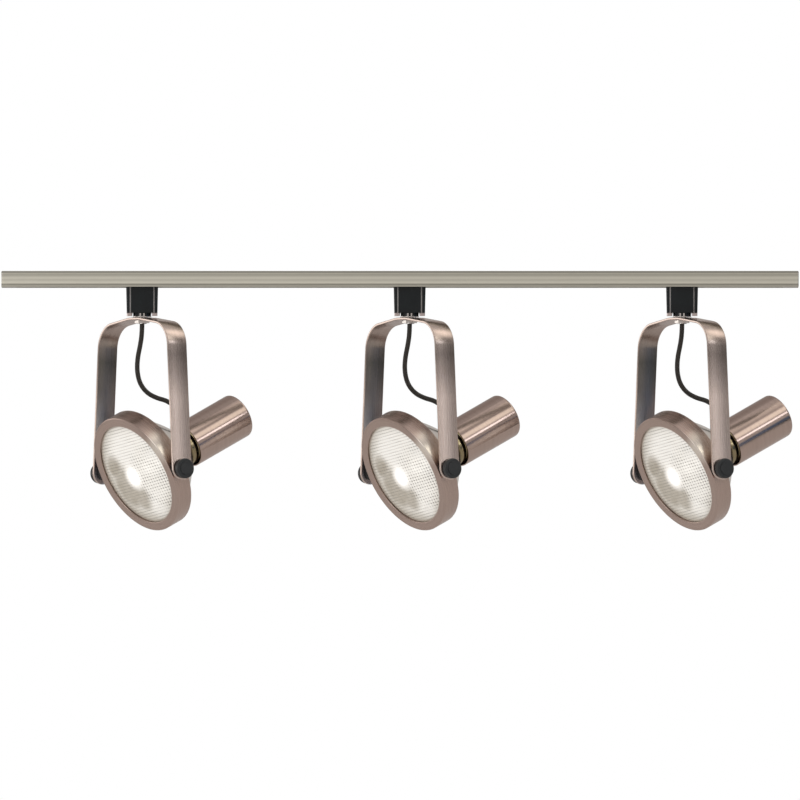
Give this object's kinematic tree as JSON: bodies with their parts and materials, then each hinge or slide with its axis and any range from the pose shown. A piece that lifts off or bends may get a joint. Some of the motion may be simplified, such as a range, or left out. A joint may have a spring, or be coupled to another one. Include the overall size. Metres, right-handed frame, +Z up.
{
  "type": "track lighting fixture",
  "caption": "Ceiling track rail carrying gimbal-ring lamp heads that slide, pan and tilt, with open socket cups behind reflector lamps.",
  "frame": {"origin": "middle of the rail's top face, which lies against the ceiling", "axes": "+X along the rail, +Z up into the ceiling, heads hang towards -Z, lamps aim towards -X -Y"},
  "size_m": [0.841, 0.1621, 0.2725],
  "materials": {
    "rail_aluminium": "satin brushed nickel finish",
    "insulator_plastic": "matte",
    "copper_brass": "plain metal",
    "black_gloss": "glossy moulded",
    "cap_plastic": "satin",
    "terminal_plastic": "matte",
    "tab_metal": "nickel plated",
    "bright_nickel": "bright nickel plate",
    "brushed_nickel": "brushed nickel plate",
    "black_knob": "satin moulded",
    "black_rubber": "matte",
    "stud_steel": "plain",
    "spring_wire": "bright wire",
    "lens_glass": "prismatic clear glass",
    "silvered_glass": "silvered glass",
    "lamp_brass": "drawn brass",
    "holder_phenolic": "matte moulded",
    "cord_sleeve": "matte sleeve"
  },
  "bodies": {
    "track": {"track_rail": "rail_aluminium", "rail_insulators": "insulator_plastic", "rail_conductors": "copper_brass", "end_caps": "cap_plastic", "feed_block": "terminal_plastic", "feed_screws": "copper_brass"},
    "adapter_1": {"adapter_housing_1": "black_gloss", "adapter_neck_1": "black_gloss", "adapter_contacts_1": "copper_brass", "swivel_hardware_1": "bright_nickel"},
    "lock_tabs_1": {"lock_tabs_1": "tab_metal"},
    "yoke_1": {"yoke_1": "brushed_nickel"},
    "lamp_1": {"pivot_studs_1": "stud_steel", "bushings_1": "black_rubber", "gimbal_ring_1": "brushed_nickel", "retaining_ring_1": "spring_wire", "lamp_lens_1": "lens_glass", "lamp_reflector_1": "silvered_glass", "lamp_base_1": "lamp_brass", "lampholder_1": "holder_phenolic", "socket_cup_1": "brushed_nickel", "cord_1": "cord_sleeve"},
    "knob_left_1": {"knob_left_1": "black_knob"},
    "knob_right_1": {"knob_right_1": "black_knob"},
    "adapter_2": {"adapter_housing_2": "black_gloss", "adapter_neck_2": "black_gloss", "adapter_contacts_2": "copper_brass", "swivel_hardware_2": "bright_nickel"},
    "lock_tabs_2": {"lock_tabs_2": "tab_metal"},
    "yoke_2": {"yoke_2": "brushed_nickel"},
    "lamp_2": {"pivot_studs_2": "stud_steel", "bushings_2": "black_rubber", "gimbal_ring_2": "brushed_nickel", "retaining_ring_2": "spring_wire", "lamp_lens_2": "lens_glass", "lamp_reflector_2": "silvered_glass", "lamp_base_2": "lamp_brass", "lampholder_2": "holder_phenolic", "socket_cup_2": "brushed_nickel", "cord_2": "cord_sleeve"},
    "knob_left_2": {"knob_left_2": "black_knob"},
    "knob_right_2": {"knob_right_2": "black_knob"},
    "adapter_3": {"adapter_housing_3": "black_gloss", "adapter_neck_3": "black_gloss", "adapter_contacts_3": "copper_brass", "swivel_hardware_3": "bright_nickel"},
    "lock_tabs_3": {"lock_tabs_3": "tab_metal"},
    "yoke_3": {"yoke_3": "brushed_nickel"},
    "lamp_3": {"pivot_studs_3": "stud_steel", "bushings_3": "black_rubber", "gimbal_ring_3": "brushed_nickel", "retaining_ring_3": "spring_wire", "lamp_lens_3": "lens_glass", "lamp_reflector_3": "silvered_glass", "lamp_base_3": "lamp_brass", "lampholder_3": "holder_phenolic", "socket_cup_3": "brushed_nickel", "cord_3": "cord_sleeve"},
    "knob_left_3": {"knob_left_3": "black_knob"},
    "knob_right_3": {"knob_right_3": "black_knob"}
  },
  "joints": [
    {"name": "slide_1", "type": "slide", "parent": "track", "child": "adapter_1", "axis": [1, 0, 0], "range_m": [-0.05, 0.05]},
    {"name": "lock_tabs_1", "type": "slide", "parent": "adapter_1", "child": "lock_tabs_1", "axis": [0, 0, -1], "range_m": [0, 0.0015], "stiffness_N_per_m": 400, "springref_m": -0.002},
    {"name": "pan_1", "type": "hinge", "parent": "adapter_1", "child": "yoke_1", "pos_m": [-0.272, 0, -0.05], "axis": [0, 0, 1], "range_deg": [-175, 175]},
    {"name": "tilt_1", "type": "hinge", "parent": "yoke_1", "child": "lamp_1", "pos_m": [-0.272, 0, -0.2103], "axis": [0.565, -0.8251, 0], "range_deg": [-12, 63.4], "deforming": ["cord_1"]},
    {"name": "knob_left_1", "type": "hinge", "parent": "lamp_1", "child": "knob_left_1", "pos_m": [-0.272, 0, -0.2103], "axis": [-0.565, 0.8251, 0], "range_deg": [0, 360]},
    {"name": "knob_right_1", "type": "hinge", "parent": "lamp_1", "child": "knob_right_1", "pos_m": [-0.272, 0, -0.2103], "axis": [0.565, -0.8251, 0], "range_deg": [0, 360]},
    {"name": "slide_2", "type": "slide", "parent": "track", "child": "adapter_2", "axis": [1, 0, 0], "range_m": [-0.05, 0.05]},
    {"name": "lock_tabs_2", "type": "slide", "parent": "adapter_2", "child": "lock_tabs_2", "axis": [0, 0, -1], "range_m": [0, 0.0015], "stiffness_N_per_m": 400, "springref_m": -0.002},
    {"name": "pan_2", "type": "hinge", "parent": "adapter_2", "child": "yoke_2", "pos_m": [0.0102, 0, -0.05], "axis": [0, 0, 1], "range_deg": [-175, 175]},
    {"name": "tilt_2", "type": "hinge", "parent": "yoke_2", "child": "lamp_2", "pos_m": [0.0102, 0, -0.2103], "axis": [0.565, -0.8251, 0], "range_deg": [-12, 63.4], "deforming": ["cord_2"]},
    {"name": "knob_left_2", "type": "hinge", "parent": "lamp_2", "child": "knob_left_2", "pos_m": [0.0102, 0, -0.2103], "axis": [-0.565, 0.8251, 0], "range_deg": [0, 360]},
    {"name": "knob_right_2", "type": "hinge", "parent": "lamp_2", "child": "knob_right_2", "pos_m": [0.0102, 0, -0.2103], "axis": [0.565, -0.8251, 0], "range_deg": [0, 360]},
    {"name": "slide_3", "type": "slide", "parent": "track", "child": "adapter_3", "axis": [1, 0, 0], "range_m": [-0.05, 0.05]},
    {"name": "lock_tabs_3", "type": "slide", "parent": "adapter_3", "child": "lock_tabs_3", "axis": [0, 0, -1], "range_m": [0, 0.0015], "stiffness_N_per_m": 400, "springref_m": -0.002},
    {"name": "pan_3", "type": "hinge", "parent": "adapter_3", "child": "yoke_3", "pos_m": [0.2975, 0, -0.05], "axis": [0, 0, 1], "range_deg": [-175, 175]},
    {"name": "tilt_3", "type": "hinge", "parent": "yoke_3", "child": "lamp_3", "pos_m": [0.2975, 0, -0.2103], "axis": [0.565, -0.8251, 0], "range_deg": [-12, 63.4], "deforming": ["cord_3"]},
    {"name": "knob_left_3", "type": "hinge", "parent": "lamp_3", "child": "knob_left_3", "pos_m": [0.2975, 0, -0.2103], "axis": [-0.565, 0.8251, 0], "range_deg": [0, 360]},
    {"name": "knob_right_3", "type": "hinge", "parent": "lamp_3", "child": "knob_right_3", "pos_m": [0.2975, 0, -0.2103], "axis": [0.565, -0.8251, 0], "range_deg": [0, 360]}
  ]
}
